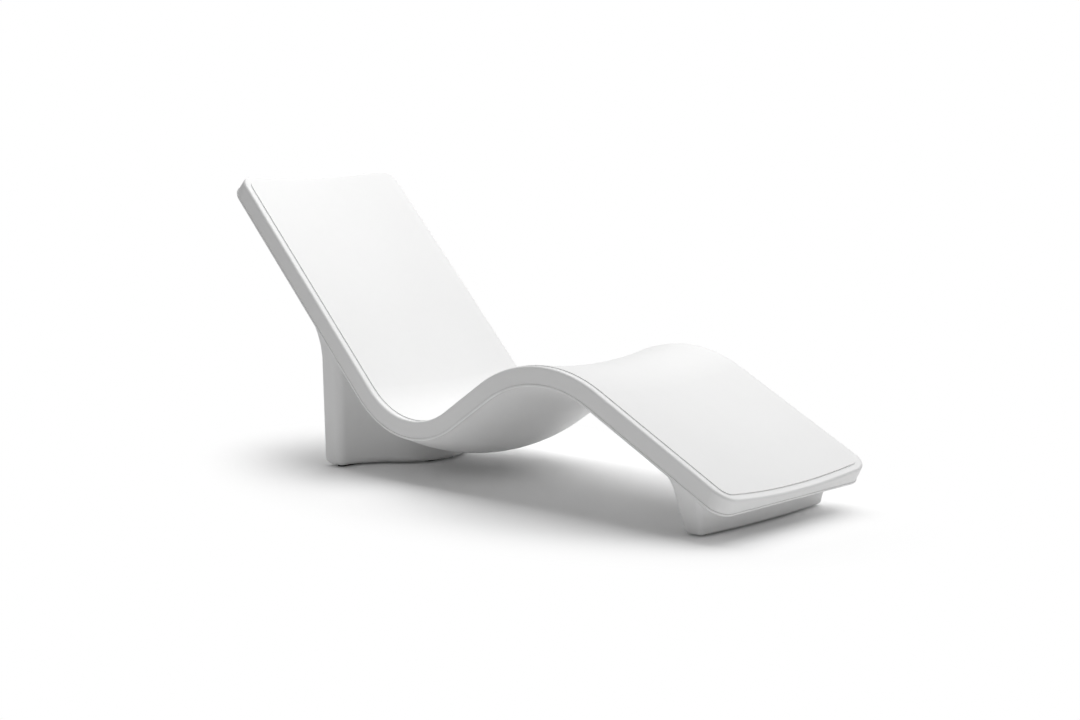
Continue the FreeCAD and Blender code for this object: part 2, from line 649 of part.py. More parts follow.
def foot_solid(name, kind, sole, walls):
    """Foot or pedestal between its two outlines; with walls drawn in it is the space inside."""
    outline = {"foot": foot_outline, "pedestal": pedestal_outline}[kind]
    return lofted(name, [outline("%s_%s" % (name, level), height, level, walls)
                         for level, height in (("low", sole), ("high", kind + "_top_height"))], True)


def blend_outline(name, point, half, front, corner):
    """Level outline with round rear corners, through a point of the blend's side view."""
    sketch = doc.addObject("Sketcher::SketchObject", name)
    sketch.Placement = Placement(Vector(0, 0, point.z), Rotation())
    up, rear, inner = Vector(0, 0, 1), point.x, half - corner
    far = Part.Circle(Vector(rear + corner, inner, 0), up, corner)
    near = Part.Circle(Vector(rear + corner, -inner, 0), up, corner)
    sketch.addGeometry(Part.LineSegment(Vector(rear, inner, 0), Vector(rear, -inner, 0)))
    sketch.addGeometry(Part.ArcOfCircle(near, math.pi, 1.5 * math.pi))
    sketch.addGeometry(Part.LineSegment(Vector(rear + corner, -half, 0), Vector(front, -half, 0)))
    sketch.addGeometry(Part.LineSegment(Vector(front, -half, 0), Vector(front, half, 0)))
    sketch.addGeometry(Part.LineSegment(Vector(front, half, 0), Vector(rear + corner, half, 0)))
    sketch.addGeometry(Part.ArcOfCircle(far, 0.5 * math.pi, math.pi))
    join_ends(sketch, [(0, 2, 1, 1), (1, 2, 2, 1), (2, 2, 3, 1), (3, 2, 4, 1), (4, 2, 5, 1), (5, 2, 0, 1)])
    return sketch


def blend_solid(name, kind, slab_point, along):
    """Flare from the rear of a foot into the underside of the slab, which runs along a direction."""
    bite, steps = size["joint_gap"], 5
    low = Vector(size[kind + "_rear_low"] + bite, 0, size["sole_height"])
    high = Vector(size[kind + "_rear_high"] + bite, 0, size[kind + "_top_height"])
    rise = (high - low).normalize()
    out = Vector(-rise.z, 0, rise.x)
    start = slab_point + Vector(along.z, 0, -along.x) * bite * (-1 if along.x < 0 else 1)
    across = Vector(-along.z, 0, along.x)
    corner = low + rise * ((start - low).dot(across) / rise.dot(across))
    turn = math.acos(rise.dot(along))
    radius = size[kind + "_blend"]
    tangent = corner - rise * radius * math.tan(turn / 2)
    centre = tangent + out * radius
    points = [tangent - rise * size["foot_wall"]]
    for step in range(steps):
        angle = turn * step / (steps - 1)
        points.append(centre - out * radius * math.cos(angle) + rise * radius * math.sin(angle))
    sketches = []
    for index, point in enumerate(points):
        share = (point.z - low.z) / (high.z - low.z)
        half = size[kind + "_half_low"] * (1 - share) + size[kind + "_half_high"] * share - bite
        front = tangent.x + size[kind + "_corner"] + size["foot_wall"]
        sketches.append(blend_outline("%s_%d" % (name, index), point, half, front, size[kind + "_corner"]))
    return lofted(name, sketches, False)


def round_solid(name, base, rounds):
    """Rounds the edges that each test picks by its radius."""
    fillet = doc.addObject("Part::Fillet", name)
    fillet.Base = base
    fillet.Edges = [(index + 1, size[radius], size[radius]) for radius, wanted in rounds
                    for index, edge in enumerate(base.Shape.Edges) if wanted(edge)]
    doc.recompute()
    return fillet


def upright(edge):
    """Edges at the four corners of a foot."""
    ends = [vertex.Point for vertex in edge.Vertexes]
    tall = len(ends) == 2 and abs(ends[1].z - ends[0].z) > size["foot_wall"] * 5
    return tall and all(abs(end.y) > size["half_width"] / 2 + size["foot_inset_low"] for end in ends)


def upright_rear(edge):
    return upright(edge) and edge.BoundBox.XMax < size["pedestal_rear_low"] + size["pedestal_side_low"] / 2


def upright_front(edge):
    return upright(edge) and not upright_rear(edge)


def at_level(height):
    def wanted(edge):
        return all(abs(vertex.Point.z - size[height]) < 0.001 for vertex in edge.Vertexes)
    return wanted


deck_outer = rounded_slab("deck_outer", "no_inset", "half_width", "rim_edge", "deck_depth",
                          "corner_radius", "rim_dish")
round_border(deck_outer, "rim_radius", 1)
deck_inner = rounded_slab("deck_inner", "shell_wall", "inner_half", "inner_edge", "inner_low",
                          "inner_corner", "inner_radius")
panel = rounded_slab("panel", "panel_inset", "panel_half", "panel_edge", "panel_low",
                     "panel_corner", "dish_radius")
upper_shell = cut("upper_shell", fuse("deck", [deck_outer, panel]), deck_inner)

flange = rounded_slab("flange", "flange_inset", "flange_half", "flange_top", "slab_depth", "flange_corner")
round_border(flange, "flange_round", -1)
round_border(flange, "flange_lip", 1)
spigot = rounded_slab("spigot", "spigot_inset", "spigot_half", "spigot_top", "spigot_low", "spigot_corner")
cavity = rounded_slab("cavity", "cavity_inset", "cavity_half", "cavity_top", "cavity_low", "cavity_corner")
under = under_body("under", "under_depth", "under_half")
belly_dome = belly_body("belly_dome", "belly_half", "slab_depth")
belly = common("belly", [belly_dome, ahead_of_rear("belly_block", 1)])
belly_core = belly_body("belly_core", "belly_in_half", "cavity_low")
belly_hollow = common("belly_hollow", [belly_core, ahead_of_rear("belly_core_block", 2)])
pedestal_blank = foot_solid("pedestal_blank", "pedestal", "sole_height", 0)
pedestal = round_solid("pedestal", pedestal_blank, [("pedestal_corner", upright_rear),
                                                    ("pedestal_front_corner", upright_front),
                                                    ("pedestal_sole_round", at_level("sole_height"))])
pedestal_core = foot_solid("pedestal_core", "pedestal", "hollow_sole", 1)
pedestal_hollow = round_solid("pedestal_hollow", pedestal_core, [("pedestal_inner_corner", upright_rear),
                                                                ("pedestal_inner_front", upright_front)])
foot_blank = foot_solid("foot_blank", "foot", "sole_height", 0)
foot_cornered = round_solid("foot_cornered", foot_blank, [("foot_corner", upright)])
foot = round_solid("foot", foot_cornered, [("foot_sole_round", at_level("sole_height"))])
foot_hollow = foot_solid("foot_hollow", "foot", "hollow_sole", 1)
back_under = BACK_END + Vector(-SIN_BACK, 0, -COS_BACK) * size["slab_depth"]
leg_under = LEG_START + Vector(-SIN_LEG, 0, -COS_LEG) * size["slab_depth"]
pedestal_flare = blend_solid("pedestal_flare", "pedestal", back_under, Vector(-COS_BACK, 0, SIN_BACK))
foot_flare = blend_solid("foot_flare", "foot", leg_under, Vector(-COS_LEG, 0, SIN_LEG))
feet = common("feet", [fuse("feet_blank", [pedestal, foot, pedestal_flare, foot_flare]), under])
lower_outer = fuse("lower_outer", [flange, spigot, belly, feet])
lower_inside = fuse("lower_inside", [cavity, belly_hollow, pedestal_hollow, foot_hollow])
lower_hollow = cut("lower_hollow", lower_outer, lower_inside)


def turned_body(name, steps, placement):
    """Solid of revolution about its own Z axis, from (radius cell, depth cell) corners."""
    body = new_body(name)
    sketch = new_sketch(body, name + "_section", "XZ_Plane")
    corners = [Vector(size[radius] / 2, -size[depth], 0) for radius, depth in steps]
    count = len(corners)
    for index in range(count):
        sketch.addGeometry(Part.LineSegment(corners[index], corners[(index + 1) % count]))
    join_ends(sketch, [(index, 2, (index + 1) % count, 1) for index in range(count)])
    for index, (radius, depth) in enumerate(steps):
        if size[radius]:
            bind(sketch, "r%d" % index, Sketcher.Constraint("DistanceX", -1, 1, index, 1, corners[index].x),
                 "sizes.%s / 2" % radius)
        else:
            sketch.addConstraint(Sketcher.Constraint("PointOnObject", index, 1, -2))
        if size[depth]:
            bind(sketch, "d%d" % index, Sketcher.Constraint("DistanceY", index, 1, -1, 1, -corners[index].y),
                 "sizes." + depth)
        else:
            sketch.addConstraint(Sketcher.Constraint("PointOnObject", index, 1, -1))
    doc.recompute()
    turn = body.newObject("PartDesign::Revolution", name + "_turn")
    turn.Profile = sketch
    turn.ReferenceAxis = (sketch, ["V_Axis"])
    turn.Angle = 360
    doc.recompute()
    body.Placement = placement
    doc.recompute()
    return body


def socket(body):
    """Square socket for a key in the face of a plug."""
    volume = body.Shape.Volume
    half = size["plug_socket_width"] / 2
    sketch = new_sketch(body, body.Name + "_key", "XY_Plane")
    sketch.AttachmentOffset = Placement(Vector(0, 0, -size["plug_sink"]), Rotation())
    sketch.setExpression("AttachmentOffset.Base.z", "-sizes.plug_sink")
    corners = [Vector(-half, -half, 0), Vector(half, -half, 0), Vector(half, half, 0), Vector(-half, half, 0)]
    for index in range(4):
        sketch.addGeometry(Part.LineSegment(corners[index], corners[(index + 1) % 4]))
    join_ends(sketch, [(index, 2, (index + 1) % 4, 1) for index in range(4)])
    for index in (0, 2):
        sketch.addConstraint(Sketcher.Constraint("Horizontal", index))
        sketch.addConstraint(Sketcher.Constraint("Vertical", index + 1))
    sketch.addConstraint(Sketcher.Constraint("Equal", 0, 1))
    sketch.addConstraint(Sketcher.Constraint("Symmetric", 0, 1, 1, 2, -1, 1))
    bind(sketch, "plug_socket_width", Sketcher.Constraint("Distance", 0, 2 * half))
    doc.recompute()
    pocket = body.newObject("PartDesign::Pocket", body.Name + "_socket")
    pocket.Profile = sketch
    pocket.Length = size["plug_socket_depth"]
    pocket.setExpression("Length", "sizes.plug_socket_depth")
    doc.recompute()
    if body.Shape.Volume >= volume:
        pocket.Reversed = True
        doc.recompute()
    if body.Shape.Volume >= volume:
        raise RuntimeError("socket cuts nothing")


def port_pieces(name, placement):
    """Plug, washer and moulded-in insert of one port, with the boss and the hole it needs in the shell."""
    plug = turned_body(name + "_plug", [("no_inset", "plug_sink"), ("plug_head_diameter", "plug_sink"),
                                        ("plug_head_diameter", "plug_head_low"),
                                        ("plug_stem_diameter", "plug_head_low"),
                                        ("plug_stem_diameter", "stem_low"), ("no_inset", "stem_low")], placement)
    socket(plug)
    washer = turned_body(name + "_washer", [("insert_bore", "washer_top"), ("washer_diameter", "washer_top"),
                                            ("washer_diameter", "washer_low"),
                                            ("insert_bore", "washer_low")], placement)
    insert = turned_body(name + "_insert", [("insert_bore", "insert_top"),
                                            ("insert_flange_diameter", "insert_top"),
                                            ("insert_flange_diameter", "insert_flange_low"),
                                            ("insert_barrel_diameter", "insert_flange_low"),
                                            ("insert_barrel_diameter", "insert_low"),
                                            ("insert_bore", "insert_low")], placement)
    boss = turned_body(name + "_boss", [("no_inset", "boss_skin"), ("boss_diameter", "boss_skin"),
                                        ("boss_diameter", "boss_length"), ("no_inset", "boss_length")], placement)
    hole = turned_body(name + "_hole", [("no_inset", "hole_top"), ("port_recess", "hole_top"),
                                        ("port_recess", "insert_flange_low"), ("port_hole", "insert_flange_low"),
                                        ("port_hole", "hole_low"), ("no_inset", "hole_low")], placement)
    return [plug, washer, insert], boss, hole


def outward(point, direction):
    return Placement(point, Rotation(Vector(0, 0, 1), direction))


back_down = Vector(-SIN_BACK, 0, -COS_BACK)
fill_point = HEAD + Vector(COS_BACK, 0, -SIN_BACK) * size["fill_port_place"] + back_down * size["slab_depth"]
pedestal_rise = size["pedestal_top_height"] - size["sole_height"]
pedestal_lean = (size["pedestal_rear_high"] - size["pedestal_rear_low"]) / pedestal_rise
rear_x = size["pedestal_rear_low"] + pedestal_lean * (size["rear_drain_height"] - size["sole_height"])
foot_rise = size["foot_top_height"] - size["sole_height"]
foot_lean = (size["foot_rear_high"] - size["foot_rear_low"]) / foot_rise
front_x = size["foot_rear_low"] + foot_lean * (size["front_drain_height"] - size["sole_height"])
PORTS = [
    ("fill", outward(fill_point, back_down)),
    ("rear_drain", outward(Vector(rear_x, 0, size["rear_drain_height"]), Vector(-1, 0, pedestal_lean))),
    ("front_drain", outward(Vector(front_x, 0, size["front_drain_height"]), Vector(-1, 0, foot_lean))),
]
nodes = [upper_shell]
bosses = []
cutters = []
for name, placement in PORTS:
    pieces, boss, hole = port_pieces(name, placement)
    nodes += pieces
    bosses.append(boss)
    cutters.append(hole)


def pad_body(name, place, across, pocket):
    """Rubber pad with round ends, along Y; as a pocket it is the recess that takes it."""
    body = new_body(name)
    grow = size["pad_clearance"] if pocket else 0.0
    words = "sizes.pad_clearance" if pocket else "0"
    half = size["pad_length"] / 2 - size["pad_width"] / 2
    radius = size["pad_width"] / 2 + grow
    sketch = new_sketch(body, name + "_outline", "XY_Plane")
    up = Vector(0, 0, 1)
    sketch.addGeometry(Part.ArcOfCircle(Part.Circle(Vector(0, half, 0), up, radius), 0, math.pi))
    sketch.addGeometry(Part.LineSegment(Vector(-radius, half, 0), Vector(-radius, -half, 0)))
    sketch.addGeometry(Part.ArcOfCircle(Part.Circle(Vector(0, -half, 0), up, radius), math.pi, 2 * math.pi))
    sketch.addGeometry(Part.LineSegment(Vector(radius, -half, 0), Vector(radius, half, 0)))
    for first, first_end, second, second_end in ((0, 2, 1, 1), (1, 2, 2, 1), (2, 2, 3, 1), (3, 2, 0, 1)):
        sketch.addConstraint(Sketcher.Constraint("Tangent", first, first_end, second, second_end))
    sketch.addConstraint(Sketcher.Constraint("Symmetric", 0, 3, 2, 3, -1, 1))
    sketch.addConstraint(Sketcher.Constraint("PointOnObject", 0, 3, -2))
    bind(sketch, "pad_width", Sketcher.Constraint("Radius", 0, radius), "sizes.pad_width / 2 + " + words)
    bind(sketch, "pad_length", Sketcher.Constraint("DistanceY", 2, 3, 0, 3, 2 * half),
         "sizes.pad_length - sizes.pad_width")
    doc.recompute()
    pad = body.newObject("PartDesign::Pad", name + "_pad")
    pad.Profile = sketch
    pad.Length = size["pad_height"]
    pad.setExpression("Length", "sizes.pad_height")
    doc.recompute()
    body.Placement = Placement(Vector(place, across, 0), Rotation())
    doc.recompute()
    return body


pedestal_pad_place = size["pedestal_rear_low"] + size["pedestal_pad_setback"]
nose_pad_place = size["pedestal_rear_low"] + size["nose_pad_setback"]
foot_pad_place = size["foot_rear_low"] + size["foot_side_low"] / 2
PADS = [
    ("rear_pad_left", pedestal_pad_place, size["pedestal_pad_spread"]),
    ("rear_pad_right", pedestal_pad_place, -size["pedestal_pad_spread"]),
    ("rear_pad_nose", nose_pad_place, 0.0),
    ("front_pad_left", foot_pad_place, size["foot_pad_spread"]),
    ("front_pad_right", foot_pad_place, -size["foot_pad_spread"]),
]
for name, place, across in PADS:
    nodes.append(pad_body(name, place, across, False))
    cutters.append(pad_body(name + "_pocket", place, across, True))


def former_body(name, point, angle, in_belly):
    """Bulkhead square to the slab, bonded between the deck above and the underside below."""
    body = new_body(name)
    sketch = new_sketch(body, name + "_outline", "YZ_Plane")
    half, low, radius = size["former_half"], -size["former_low"], size["former_radius"]
    edge = -size["former_edge"]
    turn = math.asin(half / radius)
    up = Vector(0, 0, 1)
    deck_circle = Part.Circle(Vector(0, size["dish_centre"], 0), up, radius)
    sketch.addGeometry(Part.ArcOfCircle(deck_circle, 1.5 * math.pi - turn, 1.5 * math.pi + turn))
    sketch.addGeometry(Part.LineSegment(Vector(half, edge, 0), Vector(half, low, 0)))
    if in_belly:
        across, depth = size["former_belly_half"], size["belly_depth"]
        belly_radius = (across * across + depth * depth) / (2 * depth)
        belly_turn = math.asin(across / belly_radius)
        circle = Part.Circle(Vector(0, low - depth + belly_radius, 0), up, belly_radius)
        sketch.addGeometry(Part.LineSegment(Vector(half, low, 0), Vector(across, low, 0)))
        sketch.addGeometry(Part.ArcOfCircle(circle, 1.5 * math.pi - belly_turn, 1.5 * math.pi + belly_turn))
        sketch.addGeometry(Part.LineSegment(Vector(-across, low, 0), Vector(-half, low, 0)))
    else:
        sketch.addGeometry(Part.LineSegment(Vector(half, low, 0), Vector(-half, low, 0)))
    sketch.addGeometry(Part.LineSegment(Vector(-half, low, 0), Vector(-half, edge, 0)))
    for side in (-1, 1):
        place = side * size["former_hole_spread"]
        level = (low - math.sqrt(radius * radius - place * place) + size["dish_centre"]) / 2
        sketch.addGeometry(Part.Circle(Vector(place, level, 0), up, size["former_hole"] / 2))
    doc.recompute()
    pad = body.newObject("PartDesign::Pad", name + "_pad")
    pad.Profile = sketch
    pad.Length = size["former_thickness"]
    pad.setExpression("Length", "sizes.former_thickness")
    pad.Midplane = True
    doc.recompute()
    body.Placement = Placement(point, Rotation(Vector(0, 1, 0), angle))
    doc.recompute()
    return body


back_former = HEAD + Vector(COS_BACK, 0, -SIN_BACK) * size["back_former_place"]
leg_former = FOOT - Vector(COS_LEG, 0, -SIN_LEG) * size["leg_former_place"]
nodes.append(former_body("back_former", back_former, size["back_angle"], False))
nodes.append(former_body("seat_former", SEAT - Vector(0, 0, size["seat_radius"]), 0.0, True))
nodes.append(former_body("knee_former", KNEE + Vector(0, 0, size["knee_radius"]), 0.0, True))
nodes.append(former_body("leg_former", leg_former, size["leg_angle"], False))

lower_shell = cut("lower_shell", fuse("lower_bossed", [lower_hollow] + bosses), fuse("lower_cuts", cutters))
nodes.insert(1, lower_shell)

for item in doc.Objects:
    if "Invalid" in item.State or "Error" in item.State:
        raise RuntimeError("%s is %s" % (item.Name, item.State))
os.makedirs("parts", exist_ok=True)
for node in nodes:
    node.Label = node.Name
    shape = node.Shape
    if shape.isNull() or not shape.isValid() or len(shape.Solids) != 1:
        raise RuntimeError("bad solid " + node.Name)
    shape.exportStep("parts/%s.step" % node.Name)
    print(node.Name, round(shape.Volume / 1000.0, 1), "cm3")
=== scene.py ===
import math

import bpy
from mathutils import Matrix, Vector

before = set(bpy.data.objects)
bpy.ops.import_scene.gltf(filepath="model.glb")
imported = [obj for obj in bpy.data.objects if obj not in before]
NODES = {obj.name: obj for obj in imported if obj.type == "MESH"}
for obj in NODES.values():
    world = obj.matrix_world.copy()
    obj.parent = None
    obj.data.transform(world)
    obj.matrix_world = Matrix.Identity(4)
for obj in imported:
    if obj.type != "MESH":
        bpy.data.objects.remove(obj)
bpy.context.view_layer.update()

bl_info = {
    "name": "Moulded Chaise Longue",
    "version": (1, 0, 0),
    "blender": (4, 5, 0),
    "location": "View3D > Sidebar > Lounger",
    "description": "Dresses the moulded lounger and sets its studio stage",
    "category": "Object",
}

# places of sockets among a node's outputs
OBJECT_PLACE = 3
LENGTH_VALUE = 1
GLOSSY_RAY = 3

WHITE = (1.0, 1.0, 1.0, 1.0)

# noises of the plastic: scale per metre and detail
PLASTIC_DRIFT = (5.0, 3.0)
PLASTIC_PATCH = (38.0, 2.0)
PLASTIC_PEBBLE = (520.0, 2.0)
PLASTIC_PEEL = (95.0, 1.0)
PLASTIC_TONE = {"base": 0.97, "drift": 0.03, "patch": 0.015}
PLASTIC_GLOSS = {"below": 0.06, "patch": 0.07, "pebble": 0.05}
PLASTIC_BUMP = {"Strength": 1.0, "Distance": 0.001}
PLASTIC_SHINE = {"IOR": 1.5, "Specular IOR Level": 0.4}

# noises of the rubber: scale per metre and detail
RUBBER_PITS = (900.0, 2.0)
RUBBER_BLOOM = (60.0, 3.0)
RUBBER_TONE = {"base": 0.75, "bloom": 0.5}
RUBBER_ROUGHNESS = {"base": 0.72, "pits": 0.16}
RUBBER_BUMP = {"Strength": 0.6, "Distance": 0.0004}
RUBBER_SHINE = {"Specular IOR Level": 0.3}

SENSOR_WIDTH = 36.0
CAMERA_REACH = 200.0


class Socket:
    """An output of a shader tree; sums and products with it add Math nodes."""

    def __init__(self, tree, link):
        self.tree = tree
        self.link = link

    def math(self, operation, first, second):
        return self.tree.make("ShaderNodeMath", {"operation": operation}, {0: first, 1: second})

    def __add__(self, other):
        return self.math("ADD", self, other)

    def __radd__(self, other):
        return self.math("ADD", other, self)

    def __mul__(self, other):
        return self.math("MULTIPLY", self, other)

    def __rmul__(self, other):
        return self.math("MULTIPLY", other, self)


class Finish:
    """The nodes of one material or world, with a single method that adds nodes."""

    def __init__(self, name, world=None):
        self.owner = world or bpy.data.materials.new(name)
        self.owner.use_nodes = True
        self.tree = self.owner.node_tree
        self.tree.nodes.clear()

    def make(self, kind, settings=None, sockets=None, output=0):
        node = self.tree.nodes.new(kind)
        for name, value in (settings or {}).items():
            setattr(node, name, value)
        for name, value in (sockets or {}).items():
            if isinstance(value, Socket):
                self.tree.links.new(value.link, node.inputs[name])
            else:
                node.inputs[name].default_value = value
        return Socket(self, node.outputs[output]) if len(node.outputs) else None


def noise(finish, place, grain):
    scale, detail = grain
    return finish.make("ShaderNodeTexNoise", None, {"Vector": place, "Scale": scale, "Detail": detail})


def tinted(finish, colour, tone):
    return finish.make("ShaderNodeVectorMath", {"operation": "SCALE"}, {0: colour, "Scale": tone})


def moulded_plastic(name, colour, roughness, grain, peel):
    """Satin polyethylene: fine pebbled skin from the mould, with faint drifts of tone and gloss."""
    finish = Finish(name)
    place = finish.make("ShaderNodeTexCoord", output=OBJECT_PLACE)
    drift = noise(finish, place, PLASTIC_DRIFT)
    patch = noise(finish, place, PLASTIC_PATCH)
    pebble = noise(finish, place, PLASTIC_PEBBLE)
    orange_peel = noise(finish, place, PLASTIC_PEEL)
    tone = PLASTIC_TONE["base"] + drift * PLASTIC_TONE["drift"] + patch * PLASTIC_TONE["patch"]
    smoothest = roughness - PLASTIC_GLOSS["below"]
    gloss = smoothest + patch * PLASTIC_GLOSS["patch"] + pebble * PLASTIC_GLOSS["pebble"]
    height = pebble * grain + orange_peel * peel
    bump = finish.make("ShaderNodeBump", None, {"Height": height, **PLASTIC_BUMP})
    shader = finish.make("ShaderNodeBsdfPrincipled", None, {
        "Base Color": tinted(finish, colour, tone), "Roughness": gloss, "Normal": bump, **PLASTIC_SHINE})
    finish.make("ShaderNodeOutputMaterial", None, {"Surface": shader})
    return finish.owner


def moulded_rubber(name, colour):
    """Matte rubber with a dusty bloom and a fine pitted skin."""
    finish = Finish(name)
    place = finish.make("ShaderNodeTexCoord", output=OBJECT_PLACE)
    pits = noise(finish, place, RUBBER_PITS)
    bloom = noise(finish, place, RUBBER_BLOOM)
    tone = RUBBER_TONE["base"] + bloom * RUBBER_TONE["bloom"]
    roughness = RUBBER_ROUGHNESS["base"] + pits * RUBBER_ROUGHNESS["pits"]
    bump = finish.make("ShaderNodeBump", None, {"Height": pits, **RUBBER_BUMP})
    shader = finish.make("ShaderNodeBsdfPrincipled", None, {
        "Base Color": tinted(finish, colour, tone), "Roughness": roughness, "Normal": bump, **RUBBER_SHINE})
    finish.make("ShaderNodeOutputMaterial", None, {"Surface": shader})
    return finish.owner


def dress(names, material):
    for name in names:
        mesh = NODES[name].data
        mesh.materials.clear()
        mesh.materials.append(material)


def named(part):
    return [name for name in NODES if part in name]


class LoungerFinish(bpy.types.PropertyGroup):
    shell_colour: bpy.props.FloatVectorProperty(
        name="Shell colour", description="Colour of the two mouldings", subtype="COLOR",
        default=(0.87, 0.87, 0.868), min=0.0, max=1.0)
    shell_roughness: bpy.props.FloatProperty(
        name="Shell roughness", description="Mean roughness of the moulded skin", subtype="FACTOR",
        default=0.46, min=0.0, max=1.0)
    plug_colour: bpy.props.FloatVectorProperty(
        name="Plug colour", description="Colour of the screw plugs", subtype="COLOR",
        default=(0.80, 0.80, 0.795), min=0.0, max=1.0)
    insert_colour: bpy.props.FloatVectorProperty(
        name="Insert colour", description="Colour of the moulded-in inserts and the formers",
        subtype="COLOR", default=(0.74, 0.74, 0.735), min=0.0, max=1.0)
    # near black: real rubber on the washers and pads; on the pads, seen only in the thin gap under the
    # soles, it also paints the dark contact shadow line there
    rubber_and_shadow_line_colour: bpy.props.FloatVectorProperty(
        name="Rubber colour", description="Colour of the pads and washers", subtype="COLOR",
        default=(0.035, 0.035, 0.035), min=0.0, max=1.0)


class LoungerStage(bpy.types.PropertyGroup):
    camera_place: bpy.props.FloatVectorProperty(
        name="Camera place", description="Where the camera stands", subtype="TRANSLATION", unit="LENGTH",
        default=(3.5867, -3.7660, 1.0762))
    camera_yaw: bpy.props.FloatProperty(
        name="Camera yaw", description="Turn of the camera about the vertical", subtype="ANGLE",
        default=math.radians(43.24025))
    camera_pitch: bpy.props.FloatProperty(
        name="Camera pitch", description="How far the camera looks down", subtype="ANGLE",
        default=math.radians(8.19166))
    camera_lens: bpy.props.FloatProperty(
        name="Camera lens", description="Focal length in millimetres on a 36 mm sensor",
        default=63.10, min=1.0)
    floor_size: bpy.props.FloatProperty(
        name="Floor size", description="Side of the floor", unit="LENGTH", default=60.0)
    floor_colour: bpy.props.FloatVectorProperty(
        name="Floor colour", description="Colour of the floor", subtype="COLOR",
        default=(0.97, 0.97, 0.97), min=0.0, max=1.0)
    floor_lift: bpy.props.FloatProperty(
        name="Floor lift", description="How far the floor near the lounger is whitened for the camera",
        subtype="FACTOR", default=0.027, min=0.0, max=1.0)
    floor_fade: bpy.props.FloatVectorProperty(
        name="Floor fade", size=2, unit="LENGTH", default=(0.449, 0.753),
        description="Distances across the lounger where the floor starts to whiten and is white")
    floor_oval: bpy.props.FloatVectorProperty(
        name="Floor oval", size=3, default=(0.612, 1.0, 1.0),
        description="Shrinks lengthwise distances, so that the fade is longer than wide")
    floor_centre: bpy.props.FloatVectorProperty(
        name="Floor centre", description="Middle of the fade", subtype="TRANSLATION", unit="LENGTH",
        default=(0.09, -0.039, 0.0))
    sky_strength: bpy.props.FloatProperty(
        name="Sky strength", description="Even light from all round", default=0.23, min=0.0)
    key_power: bpy.props.FloatProperty(
        name="Key power", description="Power of the large lamp overhead", unit="POWER",
        default=258.0, min=0.0)
    key_size: bpy.props.FloatVectorProperty(
        name="Key size", description="Width and length of the large lamp", size=2, unit="LENGTH",
        default=(6.4, 5.0), min=0.0)
    key_place: bpy.props.FloatVectorProperty(
        name="Key place", description="Where the large lamp hangs", subtype="TRANSLATION", unit="LENGTH",
        default=(-0.15, 1.45, 4.2))
    key_aim: bpy.props.FloatVectorProperty(
        name="Key aim", description="Point that the large lamp faces", subtype="TRANSLATION",
        unit="LENGTH", default=(0.0, 0.0, 0.2))


class LOUNGER_OT_shells(bpy.types.Operator):
    """Gives the upper and lower moulding their satin plastic skin"""
    bl_idname = "lounger.shells"
    bl_label = "Finish Shells"

    def execute(self, context):
        look = context.scene.lounger_finish
        skin = moulded_plastic("moulded_polyethylene", tuple(look.shell_colour),
                               roughness=look.shell_roughness, grain=0.05, peel=0.06)
        dress(("upper_shell", "lower_shell"), skin)
        return {"FINISHED"}


class LOUNGER_OT_ports(bpy.types.Operator):
    """Finishes the plugs, inserts and washers of the three ports"""
    bl_idname = "lounger.ports"
    bl_label = "Finish Ports"

    def execute(self, context):
        look = context.scene.lounger_finish
        dress(named("_plug"), moulded_plastic("plug_plastic", tuple(look.plug_colour),
                                              roughness=0.40, grain=0.03, peel=0.02))
        dress(named("_insert"), moulded_plastic("insert_plastic", tuple(look.insert_colour),
                                                roughness=0.38, grain=0.02, peel=0.02))
        dress(named("_washer"), moulded_rubber("washer_rubber", tuple(look.rubber_and_shadow_line_colour)))
        return {"FINISHED"}


class LOUNGER_OT_pads(bpy.types.Operator):
    """Finishes the rubber pads under the pedestal and the foot; their near-black colour is real rubber and
    also painted shade for the dark contact shadow line along the bottom of the soles
    """
    bl_idname = "lounger.pads"
    bl_label = "Finish Pads"

    def execute(self, context):
        look = context.scene.lounger_finish
        # near-black pads: real rubber, and also painted shade for the dark contact shadow line under the
        # pedestal and the foot
        dress(named("_pad_"), moulded_rubber("pad_rubber", tuple(look.rubber_and_shadow_line_colour)))
        return {"FINISHED"}


class LOUNGER_OT_formers(bpy.types.Operator):
    """Finishes the formers inside the shell"""
    bl_idname = "lounger.formers"
    bl_label = "Finish Formers"

    def execute(self, context):
        look = context.scene.lounger_finish
        dress(named("_former"), moulded_plastic("former_sheet", tuple(look.insert_colour),
                                                roughness=0.5, grain=0.03, peel=0.03))
        return {"FINISHED"}


